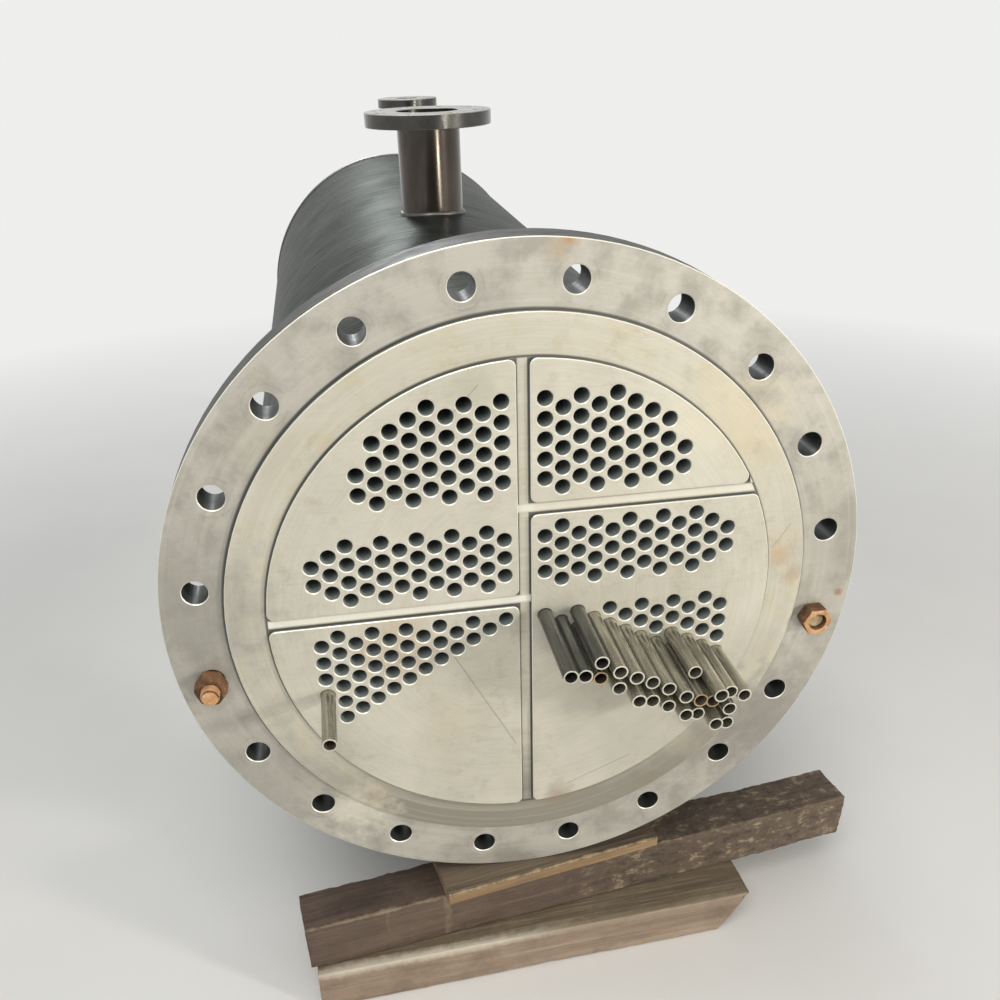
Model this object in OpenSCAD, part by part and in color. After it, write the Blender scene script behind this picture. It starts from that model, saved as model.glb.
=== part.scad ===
// Shell and tube heat exchanger, laid on timbers while its tubes are pushed in.
// Both end channels are off, so the drilled tubesheets are open to view. The front one is a flange with
// partition grooves, and the rear one is a plain disc of the shell's own diameter.
// Units are millimetres. X is to the right, Y runs back along the shell, Z is up.
// The front tubesheet's bolting ring is the plane Y = 0 and the ground is the plane Z = 0.

/* [Shell] */
// outside diameter of the rolled shell
shell_od = 711; // [640:1:860]
// thickness of the shell plate
shell_wall = 10; // [6:1:16]
// distance from the front tubesheet's bolting ring to the rear tubesheet's face
overall_length = 1935; // [1800:5:4000]
// height of the shell's axis above the ground
axis_height = 635; // [620:1:1000]

/* [Tubesheets] */
// outside diameter of the front tubesheet
sheet_od = 910; // [700:1:1100]
// thickness of the front tubesheet at the bolting ring, and of the rear one
sheet_thickness = 50; // [30:1:90]
// diameter of the circle through the bolt holes
bolt_circle = 823; // [650:1:1000]
// number of bolt holes
bolt_count = 20; // [12:4:32]
// diameter of each bolt hole
bolt_hole = 32; // [20:0.5:40]
// diameter of the gasket face and its height above the bolting ring
gasket_face_od = 754; // [600:1:900]
gasket_face_height = 7; // [2:0.5:12]
// diameter of the lands that hold the tube holes, and their height above the gasket face
land_od = 653; // [500:1:800]
land_height = 5.5; // [2:0.5:10]
// radius of the lands' corners
land_corner = 9; // [3:0.5:12]
// width of the partition grooves between the lands
groove_width = 16; // [6:0.5:20]
// heights above the axis of the left and of the right groove
left_groove = 12.5; // [-5:0.5:60]
right_groove = 139.5; // [80:0.5:200]

/* [Tubes] */
// outside diameter of a tube
tube_od = 19; // [12:0.05:32]
// wall of a tube
tube_wall = 2; // [1:0.1:3]
// diameter of a tube hole
tube_hole = 19.25; // [12:0.05:33]
// spacing of the tube holes on a triangular pattern
tube_pitch = 25; // [16:0.1:42]
// length of the left tube that still stands out of the front tubesheet
left_stand = 105; // [20:1:300]
// added to the length that every right tube stands out
extra_stand = 0; // [-60:1:150]

/* [Nozzles] */
// distance from the front face to the large nozzles' centre: inlet on top, outlet below
inlet_y = 885; // [300:5:1800]
outlet_y = 1560; // [300:5:1800]
// outside diameter and wall of the large necks
neck_od = 114.3; // [60:0.1:220]
neck_wall = 6; // [3:0.5:12]
// outside diameter, thickness, bolt circle, bolt holes and their number on the large flanges
nozzle_flange_od = 229; // [120:1:340]
nozzle_flange_thickness = 24; // [12:1:40]
nozzle_bolt_circle = 190.5; // [90:0.5:300]
nozzle_bolt_hole = 19; // [12:0.5:26]
nozzle_bolt_count = 8; // [4:4:12]
// height of the nozzle faces above or below the axis
nozzle_reach = 525; // [420:1:700]
// the small vent on top: its place, neck and flange
vent_y = 1296; // [300:5:1800]
vent_neck_od = 48.3; // [21:0.1:90]
vent_neck_wall = 5; // [2:0.5:8]
vent_flange_od = 127; // [80:1:200]
vent_flange_thickness = 17.5; // [10:0.5:30]
vent_bolt_circle = 98.5; // [60:0.5:160]
vent_bolt_hole = 16; // [10:0.5:20]
vent_bolt_count = 4; // [4:4:8]

/* [Inside] */
// distance from the front face to the first baffle, and from one baffle to the next
baffle_first = 360; // [100:5:600]
baffle_spacing = 320; // [150:5:600]
// thickness of a baffle and its gap to the shell
baffle_thickness = 10; // [5:1:20]
baffle_gap = 2.5; // [1:0.5:5]
// distance from the axis to a baffle's cut edge
baffle_cut = 176; // [80:1:260]
// diameter of the tie rods, of the spacers on them, and the size across flats of their end nuts
tie_rod = 12; // [8:1:20]
tie_spacer = 19; // [14:1:30]
tie_nut_flats = 18; // [12:1:36]
// height of those nuts, and how far the rods reach past the last baffle
tie_nut_thickness = 10; // [6:1:16]
tie_reach = 20; // [17:1:60]

/* [Studs and nuts] */
// diameter of a stud
stud_d = 24; // [16:0.5:30]
// width across flats and thickness of its nuts
nut_flats = 36; // [32:1:50]
nut_thickness = 22; // [12:1:30]
// how far the left and the right stud's end stands past its nut
left_stud_end = 14; // [-10:1:60]
right_stud_end = -6; // [-10:1:60]
// how far the left and the right nuts are turned
left_nut_turn = 20; // [0:1:60]
right_nut_turn = 30; // [0:1:60]
// how far each stud lies off the middle of its wider hole, to the right and up
left_stud_shift = [-1.5, -3.5];
right_stud_shift = [-2.5, -1.2];

/* [Timbers] */
// lower timber: length, depth and height
sleeper_size = [693, 150, 75];
// how far its right end slopes back under itself
sleeper_undercut = 49; // [0:1:90]
// beam on top of it: length, depth and height
beam_size = [905, 78, 85];
// packing board under the tubesheet: length, depth and height
board_size = [345, 150, 20];
// left front corner of the front sleeper on the ground, and its turn
front_sleeper_corner = [-333, -69];
front_sleeper_turn = 2.9; // [-20:0.1:20]
// left front corner of the front beam, and its turn
front_beam_corner = [-342, -59];
front_beam_turn = 7.7; // [-20:0.1:20]
// left front corner of the front board, and its turn
front_board_corner = [-127, -49];
front_board_turn = 10; // [-20:0.1:20]

/* [View] */
// node to show, or all of them

/* [Hidden] */
$fn = 96;
shell_r = shell_od / 2;
shell_inner_r = shell_r - shell_wall;
column_step = tube_pitch * sqrt(3) / 2;
// the first column stands this far from the middle
first_column = 25.7;
// holes in each column, from the middle outward, counted in the three bands
top_rows = [5, 5, 5, 5, 5, 5, 4, 4, 2];
middle_rows = [3, 4, 3, 4, 3, 4, 3, 4, 3, 4, 3, 2];
bottom_rows = [1, 1, 2, 2, 3, 3, 4, 4, 5, 5, 6, 4];
// lowest hole of the upper bands in an odd column, and highest of the lower band in an even one
top_base = 165.6;
middle_base = 38.7;
bottom_base = -12.4;
// what each right tube stands out, column by column from the middle and upward from the lowest hole
right_stands = [[146], [130], [120, 124], [128, 130], [142, 128], [128, 124], [126, 124], [132, 128],
    [116, 122, 96], [126, 110, 134], [110, 114, 112], [106]];
outer_column = 11;
bolt_step = 360 / bolt_count;
baffle_count = 5;
tie_places = [[230, 165], [150, -205], [60, -135]];
// holes with a stud in them, counted clockwise from the top
left_stud_hole = 14;
right_stud_hole = 5;
rear_sheet_y = overall_length - sheet_thickness;
face_height = gasket_face_height + land_height;
land_r = land_od / 2;
edge = groove_width / 2;
board_top = axis_height - sheet_od / 2;
// the rear sleeper is on its edge with the beam on top, and a thicker board fills what is left
rear_beam_height = sleeper_size[1];
rear_board_height = rear_beam_height + beam_size[2];
rear_board_thickness = max(5, axis_height - shell_r - rear_board_height);

function odd(i) = i % 2;
function column_x(i) = first_column + i * column_step;
function bottom_first(i) = bottom_base - odd(i) * tube_pitch / 2;
function bolt_angle(k) = 90 - bolt_step / 2 - k * bolt_step;
// tube holes of one half as [x, z], measured from the axis
function top_band() = [for (i = [0:len(top_rows) - 1]) for (j = [0:top_rows[i] - 1])
    [column_x(i), top_base + (1 - odd(i)) * tube_pitch / 2 + j * tube_pitch]];
// the outermost middle column starts one pitch higher
function middle_band() = [for (i = [0:len(middle_rows) - 1]) for (j = [0:middle_rows[i] - 1])
    [column_x(i), middle_base + ((1 - odd(i)) / 2 + (i == outer_column ? 1 : 0) + j) * tube_pitch]];
function bottom_band() = [for (i = [0:len(bottom_rows) - 1]) for (j = [0:bottom_rows[i] - 1])
    [column_x(i), bottom_first(i) - j * tube_pitch]];
function lowest_hole(i) = bottom_first(i) - (bottom_rows[i] - 1) * tube_pitch;
function half_field() = concat(top_band(), middle_band(), bottom_band());
// waiting tubes of the right side as [x, z, stand]
function right_places() = [for (i = [0:outer_column]) for (j = [0:len(right_stands[i]) - 1])
    [column_x(i), lowest_hole(i) + j * tube_pitch, right_stands[i][j] + extra_stand]];

// places children on a sheet: X stays, the drawing's Y becomes Z, and it starts at distance y
module stand_up(y, depth) {
    translate([0, y + depth, axis_height])
        rotate([90, 0, 0])
            children();
}

module tube_field_2d(diameter) {
    for (side = [-1, 1])
        for (place = half_field())
            translate([side * place[0], place[1]])
                circle(d = diameter);
}

module bolt_holes_2d() {
    for (k = [0:bolt_count - 1])
        rotate(bolt_angle(k))
            translate([bolt_circle / 2, 0])
                circle(d = bolt_hole);
}

// what rounds off a land's corner between its edge at X = distance and the upper rim
module rim_corner(distance) {
    middle = [distance + land_corner, sqrt(pow(land_r - land_corner, 2) - pow(distance + land_corner, 2))];
    outside = middle * (1 + (land_corner + 2) / norm(middle));
    difference() {
        polygon([[distance - 1, middle[1]], middle, outside, [distance - 1, outside[1] + 2]]);
        translate(middle)
            circle(r = land_corner, $fn = 48);
    }
}

// what rounds off a square corner at the origin of a land that lies to its upper right
module square_corner() {
    difference() {
        translate([-1, -1])
            square(land_corner + 1);
        translate([land_corner, land_corner])
            circle(r = land_corner, $fn = 48);
    }
}

// the right half's two lands, parted by a groove at the height given
module half_lands(groove) {
    difference() {
        circle(r = land_r, $fn = 180);
        translate([edge - land_od, -land_od / 2])
            square(land_od);
        translate([0, groove - edge])
            square([land_od, groove_width]);
        for (turn = [0, 1])
            mirror([0, turn])
                rim_corner(edge);
        mirror([1, -1])
            rim_corner(groove + edge);
        mirror([0, 1])
            mirror([1, -1])
                rim_corner(edge - groove);
        translate([edge, groove + edge])
            square_corner();
        translate([edge, groove - edge])
            mirror([0, 1])
                square_corner();
    }
}

module front_lands() {
    half_lands(right_groove);
    mirror([1, 0])
        half_lands(left_groove);
}

module front_tubesheet() {
    color("silver")
        stand_up(0, sheet_thickness) {
            linear_extrude(sheet_thickness)
                difference() {
                    circle(d = sheet_od, $fn = 180);
                    tube_field_2d(tube_hole, $fn = 24);
                    bolt_holes_2d($fn = 32);
                }
            translate([0, 0, sheet_thickness])
                linear_extrude(gasket_face_height)
                    difference() {
                        circle(d = gasket_face_od, $fn = 180);
                        tube_field_2d(tube_hole, $fn = 24);
                    }
            translate([0, 0, sheet_thickness + gasket_face_height])
                linear_extrude(land_height)
                    difference() {
                        front_lands();
                        tube_field_2d(tube_hole, $fn = 24);
                    }
        }
}

module rear_tubesheet() {
    color("silver")
        stand_up(rear_sheet_y, sheet_thickness)
            linear_extrude(sheet_thickness)
                difference() {
                    circle(r = shell_r, $fn = 180);
                    tube_field_2d(tube_hole, $fn = 24);
                }
}

// quarter of the shell, centred on the direction given in degrees from the right
module shell_quarter(direction) {
    color("slategray")
        difference() {
            stand_up(sheet_thickness, rear_sheet_y - sheet_thickness)
                linear_extrude(rear_sheet_y - sheet_thickness)
                    intersection() {
                        difference() {
                            circle(r = shell_r, $fn = 180);
                            circle(r = shell_inner_r, $fn = 180);
                        }
                        rotate(direction)
                            polygon([[0, 0], [shell_od, -shell_od], [shell_od, shell_od]]);
                    }
            translate([0, inlet_y, axis_height])
                cylinder(d = neck_od, h = shell_od);
            translate([0, vent_y, axis_height])
                cylinder(d = vent_neck_od, h = shell_od);
            translate([0, outlet_y, axis_height - shell_od])
                cylinder(d = neck_od, h = shell_od);
        }
}

// pipe from the shell's inner face to a little below the flange face, pointing up
module neck(diameter, wall, length) {
    difference() {
        cylinder(d = diameter, h = length);
        translate([0, 0, -1])
            cylinder(d = diameter - 2 * wall, h = length + 2);
        rotate([90, 0, 0])
            cylinder(r = shell_inner_r, h = 2 * diameter, center = true, $fn = 180);
    }
}

// slip-on flange with its bolt holes, its face at the height given
module slip_on_flange(diameter, thickness, bore, circle_d, hole_d, count, face) {
    translate([0, 0, face - thickness])
        linear_extrude(thickness)
            difference() {
                circle(d = diameter);
                circle(d = bore);
                for (k = [0:count - 1])
                    rotate((k + 0.5) * 360 / count)
                        translate([circle_d / 2, 0])
                            circle(d = hole_d, $fn = 32);
            }
}

module large_neck() {
    neck(neck_od, neck_wall, nozzle_reach - neck_wall);
}

module large_flange() {
    slip_on_flange(nozzle_flange_od, nozzle_flange_thickness, neck_od,
        nozzle_bolt_circle, nozzle_bolt_hole, nozzle_bolt_count, nozzle_reach);
}

module inlet_neck() {
    color("sienna")
        translate([0, inlet_y, axis_height])
            large_neck();
}

module inlet_flange() {
    color("gray")
        translate([0, inlet_y, axis_height])
            large_flange();
}

module outlet_neck() {
    color("sienna")
        translate([0, outlet_y, axis_height])
            rotate([180, 0, 0])
                large_neck();
}

module outlet_flange() {
    color("gray")
        translate([0, outlet_y, axis_height])
            rotate([180, 0, 0])
                large_flange();
}

module vent_neck() {
    color("sienna")
        translate([0, vent_y, axis_height])
            neck(vent_neck_od, vent_neck_wall, nozzle_reach - vent_neck_wall);
}

module vent_flange() {
    color("gray")
        translate([0, vent_y, axis_height])
            slip_on_flange(vent_flange_od, vent_flange_thickness, vent_neck_od,
                vent_bolt_circle, vent_bolt_hole, vent_bolt_count, nozzle_reach);
}

// segmental baffle number k: the window is at the top, then at the bottom, and so on
module baffle(k) {
    radius = shell_inner_r - baffle_gap;
    side = odd(k) == 1 ? 1 : -1;
    color("dimgray")
        stand_up(baffle_first + (k - 1) * baffle_spacing, baffle_thickness)
            linear_extrude(baffle_thickness)
                difference() {
                    circle(r = radius, $fn = 180);
                    tube_field_2d(tube_hole + 0.4, $fn = 24);
                    for (place = tie_places)
                        for (x = [-place[0], place[0]])
                            translate([x, place[1]])
                                circle(d = tie_rod, $fn = 24);
                    translate([-radius, side == 1 ? baffle_cut : -baffle_cut - radius])
                        square([2 * radius, radius]);
                }
}

// rods from the front tubesheet to the last baffle, with spacers between the baffles and end nuts
module tie_rods() {
    baffle_end = baffle_first + (baffle_count - 1) * baffle_spacing + baffle_thickness;
    color("dimgray")
        for (place = tie_places)
            for (x = [-place[0], place[0]])
                translate([x, 0, axis_height + place[1]])
                    rotate([-90, 0, 0])
                        union() {
                            translate([0, 0, sheet_thickness])
                                cylinder(d = tie_rod, h = baffle_end + tie_reach - sheet_thickness, $fn = 24);
                            translate([0, 0, sheet_thickness])
                                cylinder(d = tie_spacer, h = baffle_first - sheet_thickness, $fn = 24);
                            for (k = [1:baffle_count - 1])
                                translate([0, 0, baffle_first + (k - 1) * baffle_spacing + baffle_thickness])
                                    cylinder(d = tie_spacer, h = baffle_spacing - baffle_thickness, $fn = 24);
                            translate([0, 0, baffle_end])
                                cylinder(d = tie_nut_flats / cos(30), h = tie_nut_thickness, $fn = 6);
                        }
}

// one tube, lying on the bottom of its hole, from its place on the sheet
module tube(x, z, stand) {
    drop = (tube_hole - tube_od) / 2;
    length = overall_length + face_height;
    translate([x, length - face_height - stand, axis_height + z - drop])
        rotate([90, 0, 0])
            linear_extrude(length)
                difference() {
                    circle(d = tube_od, $fn = 24);
                    circle(d = tube_od - 2 * tube_wall, $fn = 24);
                }
}

module right_tubes() {
    color("lightsteelblue")
        for (place = right_places())
            tube(place[0], place[1], place[2]);
}

module left_tube() {
    color("lightsteelblue")
        tube(-column_x(outer_column), lowest_hole(outer_column), left_stand);
}

// moves children to bolt hole k and off its middle, with Z along the hole and pointing out of the front face
module at_bolt(k, shift) {
    x = bolt_circle / 2 * cos(bolt_angle(k)) + shift[0];
    z = bolt_circle / 2 * sin(bolt_angle(k)) + shift[1];
    translate([x, 0, axis_height + z])
        rotate([90, 0, 0])
            children();
}

module stud(k, shift, proud) {
    color("saddlebrown")
        at_bolt(k, shift)
            translate([0, 0, -sheet_thickness - nut_thickness])
                cylinder(d = stud_d, h = sheet_thickness + nut_thickness + proud, $fn = 32);
}

module nut_pair(k, shift, turn) {
    color("peru")
        at_bolt(k, shift)
            for (z = [0, -sheet_thickness - nut_thickness])
                translate([0, 0, z])
                    rotate(turn)
                        difference() {
                            cylinder(d = nut_flats / cos(30), h = nut_thickness, $fn = 6);
                            translate([0, 0, -1])
                                cylinder(d = stud_d, h = nut_thickness + 2, $fn = 32);
                        }
}

module left_stud() {
    stud(left_stud_hole, left_stud_shift, nut_thickness + left_stud_end);
}

module left_nuts() {
    nut_pair(left_stud_hole, left_stud_shift, left_nut_turn);
}

module right_stud() {
    stud(right_stud_hole, right_stud_shift, nut_thickness + right_stud_end);
}

module right_nuts() {
    nut_pair(right_stud_hole, right_stud_shift, right_nut_turn);
}

// puts children on a height, with their corner at the place given, turned about that corner
module lay(corner, height, turn) {
    translate([corner[0], corner[1], height])
        rotate(turn)
            children();
}

// puts children on a height with the middle of their size under the middle of the rear tubesheet
module lay_rear(size, height) {
    lay([-size[0] / 2, rear_sheet_y + (sheet_thickness - size[1]) / 2], height, 0)
        children();
}

// sleeper whose right end slopes back under itself
module sleeper() {
    length = sleeper_size[0];
    depth = sleeper_size[1];
    height = sleeper_size[2];
    color("tan")
        translate([0, depth, 0])
            rotate([90, 0, 0])
                linear_extrude(depth)
                    polygon([[0, 0], [length - sleeper_undercut, 0], [length, height], [0, height]]);
}

module beam() {
    color("saddlebrown")
        cube(beam_size);
}

module board(thickness) {
    color("burlywood")
        cube([board_size[0], board_size[1], thickness]);
}

module front_sleeper() {
    lay(front_sleeper_corner, 0, front_sleeper_turn)
        sleeper();
}

module front_beam() {
    lay(front_beam_corner, sleeper_size[2], front_beam_turn)
        beam();
}

module front_board() {
    lay(front_board_corner, board_top - board_size[2], front_board_turn)
        board(board_size[2]);
}

// the rear sleeper is on its edge, with its upper face to the front
module rear_sleeper() {
    lay_rear([sleeper_size[0], sleeper_size[2]], 0)
        translate([0, sleeper_size[2], 0])
            rotate([90, 0, 0])
                sleeper();
}

module rear_beam() {
    lay_rear(beam_size, rear_beam_height)
        beam();
}

module rear_board() {
    lay_rear(board_size, rear_board_height)
        board(rear_board_thickness);
}

front_tubesheet();
rear_tubesheet();
shell_quarter(90);  // shell_top
shell_quarter(0);  // shell_right
shell_quarter(270);  // shell_bottom
shell_quarter(180);  // shell_left
inlet_neck();
inlet_flange();
outlet_neck();
outlet_flange();
vent_neck();
vent_flange();
baffle(1);  // baffle_1
baffle(2);  // baffle_2
baffle(3);  // baffle_3
baffle(4);  // baffle_4
baffle(5);  // baffle_5
tie_rods();
right_tubes();
left_tube();
left_stud();
left_nuts();
right_stud();
right_nuts();
front_sleeper();
front_beam();
front_board();
rear_sleeper();
rear_beam();
rear_board();
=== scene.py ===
# Shell and tube heat exchanger on its timbers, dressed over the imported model.
import math

import bpy
from mathutils import Matrix, Vector
from mathutils.kdtree import KDTree


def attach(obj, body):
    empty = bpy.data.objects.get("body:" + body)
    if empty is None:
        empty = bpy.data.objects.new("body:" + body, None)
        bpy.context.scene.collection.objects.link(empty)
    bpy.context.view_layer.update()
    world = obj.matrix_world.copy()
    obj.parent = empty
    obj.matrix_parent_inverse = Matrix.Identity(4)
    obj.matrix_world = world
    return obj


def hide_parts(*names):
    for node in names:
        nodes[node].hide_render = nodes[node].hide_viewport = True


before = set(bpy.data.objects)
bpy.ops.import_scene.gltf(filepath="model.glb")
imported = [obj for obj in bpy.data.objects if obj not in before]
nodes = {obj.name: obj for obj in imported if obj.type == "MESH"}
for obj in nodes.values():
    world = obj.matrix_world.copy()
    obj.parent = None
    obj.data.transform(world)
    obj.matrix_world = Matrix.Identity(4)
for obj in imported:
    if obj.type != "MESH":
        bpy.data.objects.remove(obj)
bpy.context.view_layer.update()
axisHeight = 0.635  # the shell's axis above the ground
shellRadius = 0.3555  # outside of the rolled plate
mergeReach = 0.00001
scene = bpy.context.scene
scene.view_settings.view_transform = "Standard"
print("frame loaded,", len(nodes), "nodes")


# small tools for the modelling

def clearSelection():
    if bpy.context.object and bpy.context.object.mode != "OBJECT":
        bpy.ops.object.mode_set(mode="OBJECT")
    bpy.ops.object.select_all(action="DESELECT")


def activate(piece):
    clearSelection()
    piece.select_set(True)
    bpy.context.view_layer.objects.active = piece


def settle(piece, name):
    # place and turn go into the mesh, so the object itself sits at the origin
    activate(piece)
    bpy.ops.object.transform_apply(location=True, rotation=True, scale=True)
    piece.name = name
    piece.data.name = name
    return piece


def addModifier(piece, kind, **settings):
    activate(piece)
    modifier = piece.modifiers.new(kind.title(), kind)
    for key, value in settings.items():
        setattr(modifier, key, value)
    bpy.ops.object.modifier_apply(modifier=modifier.name)


def outward(piece):
    activate(piece)
    bpy.ops.object.mode_set(mode="EDIT")
    bpy.ops.mesh.select_all(action="SELECT")
    bpy.ops.mesh.remove_doubles(threshold=mergeReach)
    bpy.ops.mesh.normals_make_consistent(inside=False)
    bpy.ops.object.mode_set(mode="OBJECT")


def smoothByAngle(piece, degrees):
    activate(piece)
    bpy.ops.object.shade_smooth_by_angle(angle=math.radians(degrees))


def joined(pieces, name):
    activate(pieces[0])
    for piece in pieces:
        piece.select_set(True)
    if len(pieces) > 1:
        bpy.ops.object.join()
    result = bpy.context.object
    result.name = name
    result.data.name = name
    return result


def copied(piece):
    twin = piece.copy()
    twin.data = piece.data.copy()
    scene.collection.objects.link(twin)
    return twin


def copyOf(node, name):
    # a merged copy of a node's mesh, which the dressed piece is made from
    piece = copied(nodes[node])
    piece.parent = None
    piece.name = name
    piece.data.name = name
    piece.data.materials.clear()
    activate(piece)
    bpy.ops.object.mode_set(mode="EDIT")
    bpy.ops.mesh.select_all(action="SELECT")
    bpy.ops.mesh.remove_doubles(threshold=mergeReach)
    bpy.ops.object.mode_set(mode="OBJECT")
    if piece.data.has_custom_normals:
        bpy.ops.mesh.customdata_custom_splitnormals_clear()
    return piece


breakRule = {"tolerance": 0.00002, "wallSlope": 0.2, "leastArea": 1e-10, "sameWall": 0.9999, "longestStep": 3}


def breakEdges(piece, axis, level, inward, width):
    # cuts the walls that start at a flat face just below it, then draws that face's rims back by the same width
    activate(piece)
    mesh = piece.data
    point, normal = [0.0, 0.0, 0.0], [0.0, 0.0, 0.0]
    point[axis] = level + inward * width
    normal[axis] = 1.0
    bpy.ops.object.mode_set(mode="EDIT")
    bpy.ops.mesh.select_mode(type="FACE")
    bpy.ops.mesh.select_all(action="DESELECT")
    bpy.ops.object.mode_set(mode="OBJECT")
    atLevel = [abs(vertex.co[axis] - level) < breakRule["tolerance"] for vertex in mesh.vertices]
    for face in mesh.polygons:
        face.select = any(atLevel[index] for index in face.vertices)
    bpy.ops.object.mode_set(mode="EDIT")
    bpy.ops.mesh.bisect(plane_co=point, plane_no=normal)
    bpy.ops.mesh.select_mode(type="VERT")
    bpy.ops.object.mode_set(mode="OBJECT")
    walls = {}
    for face in mesh.polygons:
        if abs(face.normal[axis]) < breakRule["wallSlope"] and face.area > breakRule["leastArea"]:
            for index in face.vertices:
                if abs(mesh.vertices[index].co[axis] - level) < breakRule["tolerance"]:
                    known = walls.setdefault(index, [])
                    if all(face.normal.dot(other) < breakRule["sameWall"] for other in known):
                        known.append(face.normal.copy())
    for index, normals in walls.items():
        first = normals[0]
        second = min(normals, key=first.dot)
        step = (first + second) / (1 + first.dot(second)) if len(normals) > 1 else first
        if step.length < breakRule["longestStep"]:
            mesh.vertices[index].co -= step * width
    mesh.update()


def paintFaces(piece, rule):
    # gives each face the material number that the rule returns for its centre and normal
    for face in piece.data.polygons:
        face.material_index = rule(face.center, face.normal)


def finished(piece, slot, materials, *replaced):
    painted = [face.material_index for face in piece.data.polygons]
    piece.data.materials.clear()
    for material in materials:
        piece.data.materials.append(material)
    piece.data.polygons.foreach_set("material_index", painted)
    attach(piece, "root")
    if replaced:
        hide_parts(*replaced)
    return piece


# small tools for the materials

def add(tree, kind, inputs=None, **settings):
    item = tree.nodes.new("ShaderNode" + kind)
    for key, value in settings.items():
        setattr(item, key, value)
    for key, value in (inputs or {}).items():
        socket = item.inputs[key]
        if isinstance(value, bpy.types.NodeSocket):
            tree.links.new(value, socket)
        else:
            socket.default_value = value
    return item


def maths(tree, operation, first, second=0.0, third=0.0):
    return add(tree, "Math", {0: first, 1: second, 2: third}, operation=operation).outputs[0]


def times(tree, first, second):
    return maths(tree, "MULTIPLY", first, second)


def plus(tree, first, second):
    return maths(tree, "ADD", first, second)


def minus(tree, first, second):
    return maths(tree, "SUBTRACT", first, second)


def unsigned(tree, value):
    return maths(tree, "ABSOLUTE", value)


def ramp(tree, value, low, high):
    # 0 below low and 1 above high
    return add(tree, "MapRange", {"Value": value, "From Min": low, "From Max": high}, clamp=True).outputs[0]


def noise(tree, vector, scale, detail, roughness=0.55):
    return add(tree, "TexNoise", {"Vector": vector, "Scale": scale, "Detail": detail,
                                  "Roughness": roughness}).outputs["Fac"]


def blend(tree, factor, first, second):
    item = add(tree, "Mix", data_type="RGBA")
    tree.links.new(factor, item.inputs[0])
    for index, value in ((6, first), (7, second)):
        if isinstance(value, bpy.types.NodeSocket):
            tree.links.new(value, item.inputs[index])
        else:
            item.inputs[index].default_value = (*value, 1.0)
    return item.outputs[2]


def mapped(tree, vector, scale=(1, 1, 1), turn=(0, 0, 0), shift=(0, 0, 0)):
    return add(tree, "Mapping", {"Vector": vector, "Scale": scale, "Rotation": turn, "Location": shift}).outputs[0]


def place(tree, **settings):
    return mapped(tree, add(tree, "TexCoord").outputs["Object"], **settings)


def startMaterial(name, metallic, roughness):
    material = bpy.data.materials.new(name)
    material.use_nodes = True
    tree = material.node_tree
    shader = tree.nodes["Principled BSDF"]
    shader.inputs["Metallic"].default_value = metallic
    shader.inputs["Roughness"].default_value = roughness
    return material, tree, shader


def bumped(tree, shader, height, distance, strength):
    item = add(tree, "Bump", {"Height": height, "Distance": distance, "Strength": strength})
    tree.links.new(item.outputs[0], shader.inputs["Normal"])


def roughened(tree, shader, pattern, low, high):
    # roughness runs from low to high with the pattern
    item = add(tree, "MapRange", {"Value": pattern, "From Min": 0.3, "From Max": 0.7, "To Min": low, "To Max": high})
    tree.links.new(item.outputs[0], shader.inputs["Roughness"])


def axisParts(tree):
    # place seen along the shell's axis: x, y and height above the axis, the same as a flat pair, and the radius
    parts = add(tree, "SeparateXYZ", {0: place(tree, shift=(0, 0, -axisHeight))}).outputs
    flat = add(tree, "CombineXYZ", {"X": parts[0], "Z": parts[2]}).outputs[0]
    radius = add(tree, "VectorMath", {0: flat}, operation="LENGTH").outputs["Value"]
    return parts[0], parts[1], parts[2], flat, radius


def band(tree, value, low, high, soft):
    # 1 between low and high, with soft edges
    return times(tree, ramp(tree, value, low - soft, low), ramp(tree, value, high + soft, high))


def spotMask(tree, flat, x, z, radius, ragged):
    distance = add(tree, "VectorMath", {0: flat, 1: (x, 0, z)}, operation="DISTANCE").outputs["Value"]
    uneven = maths(tree, "MULTIPLY_ADD", ragged, radius * 4.0, radius * -2.0)
    return ramp(tree, plus(tree, distance, uneven), radius * 1.1, radius * 0.2)


def lineMask(tree, flat, start, end, width):
    # 1 on a straight scratch from start to end
    first, along = Vector((start[0], 0, start[1])), Vector((end[0] - start[0], 0, end[1] - start[1]))
    offset = add(tree, "VectorMath", {0: flat, 1: tuple(first)}, operation="SUBTRACT").outputs[0]
    share = add(tree, "VectorMath", {0: offset, 1: tuple(along / along.length_squared)},
                operation="DOT_PRODUCT").outputs["Value"]
    nearest = add(tree, "VectorMath", {0: tuple(along), "Scale": ramp(tree, share, 0.0, 1.0)},
                  operation="SCALE").outputs[0]
    distance = add(tree, "VectorMath", {0: offset, 1: nearest}, operation="DISTANCE").outputs["Value"]
    return ramp(tree, distance, width, width * 0.4)


turnedSteelLook = {
    "land": (0.60, 0.575, 0.49), "landDull": (0.50, 0.48, 0.40), "ring": (0.46, 0.44, 0.39),
    "ringDull": (0.29, 0.275, 0.24), "seat": (0.53, 0.505, 0.42), "seatBrown": (0.50, 0.43, 0.28),
    # the seat's darkest tone is painted shade for the lower part of the seat
    "seatPaintedShade": (0.215, 0.195, 0.16), "fineMark": (0.30, 0.29, 0.26), "brushed": (0.70, 0.68, 0.60),
    "hatch": (0.33, 0.32, 0.28), "stain": (0.36, 0.32, 0.22), "scratch": (0.25, 0.25, 0.22),
    # the darkest grey-green tone is painted shade with grime, for the foot of every step
    "footShadeAndGrime": (0.065, 0.07, 0.065), "washer": (0.30, 0.29, 0.26), "washerRim": (0.0245, 0.0258),
    # the palest tone is a painted highlight on the floors of the level grooves
    "paintedGrooveSheen": (0.88, 0.865, 0.78), "grooveSheenShare": (0.8, 0.5), "metallic": 0.30, "roughness": 0.50,
    "landRadius": 0.3265, "seatRadius": 0.377, "halfGroove": 0.008, "grooves": (0.0125, 0.1395),
    "boltCircle": 0.4115, "firstBolt": 81, "boltStep": 18, "hatchTurn": 38,
}
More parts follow.
